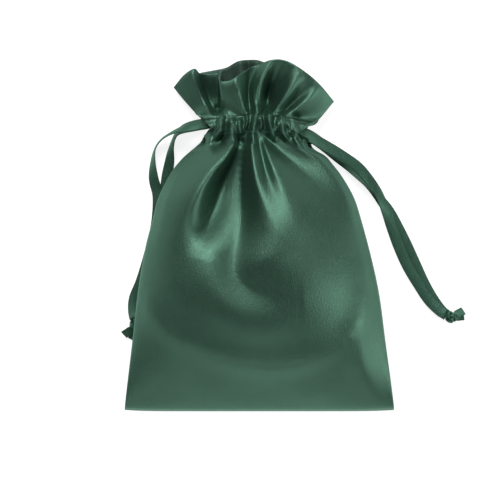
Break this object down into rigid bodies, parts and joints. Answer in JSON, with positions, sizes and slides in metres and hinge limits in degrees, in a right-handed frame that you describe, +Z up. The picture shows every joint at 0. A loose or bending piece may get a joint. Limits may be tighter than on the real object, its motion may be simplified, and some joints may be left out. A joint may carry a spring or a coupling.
{
  "type": "fabric gift sack",
  "caption": "Satin drawstring gift sack lying on its back, with a gathered neck, a ruffled mouth and ribbon pulls knotted at each side.",
  "frame": {"origin": "on the surface it lies on, under the centre of the sack's box without the free ribbons", "axes": "+Y from the bottom seam to the mouth, +Z up from the surface through the front panel, +X to the sack's right seen from above"},
  "size_m": [0.1975, 0.2, 0.0515],
  "materials": {
    "satin": "dark hunter green polyester satin, soft sheen",
    "facing_cloth": "the same satin seen from its dull side",
    "seam_cloth": "folded seam allowance of the same satin",
    "ribbon": "double faced satin ribbon, brighter sheen",
    "thread": "matching sewing thread"
  },
  "bodies": {
    "sack": {"front_panel": "satin", "back_panel": "satin", "left_side_seam": "seam_cloth", "right_side_seam": "seam_cloth", "bottom_seam": "seam_cloth", "front_casing": "satin", "back_casing": "satin", "front_casing_facing": "facing_cloth", "back_casing_facing": "facing_cloth", "upper_casing_stitches": "thread", "lower_casing_stitches": "thread", "left_bartacks": "thread", "right_bartacks": "thread", "left_ribbon_loop": "ribbon", "right_ribbon_loop": "ribbon"},
    "ruffle": {"front_ruffle": "satin", "back_ruffle": "satin", "front_ruffle_facing": "facing_cloth", "back_ruffle_facing": "facing_cloth", "ruffle_left_seam": "seam_cloth", "ruffle_right_seam": "seam_cloth"},
    "left_drawstring": {"left_front_strand": "ribbon", "left_back_strand": "ribbon", "left_knot": "ribbon", "left_ribbon_tails": "ribbon"},
    "right_drawstring": {"right_front_strand": "ribbon", "right_back_strand": "ribbon", "right_knot": "ribbon", "right_ribbon_tails": "ribbon"}
  },
  "joints": [
    {"name": "ruffle_fold", "type": "hinge", "parent": "sack", "child": "ruffle", "pos_m": [-0.002, 0.0683, 0.024], "axis": [1, 0, 0], "range_deg": [0, 40]},
    {"name": "left_drawstring_pull", "type": "slide", "parent": "sack", "child": "left_drawstring", "axis": [-1, 0, 0], "range_m": [0, 0.012]},
    {"name": "right_drawstring_pull", "type": "slide", "parent": "sack", "child": "right_drawstring", "axis": [1, 0, 0], "range_m": [0, 0.012]}
  ]
}
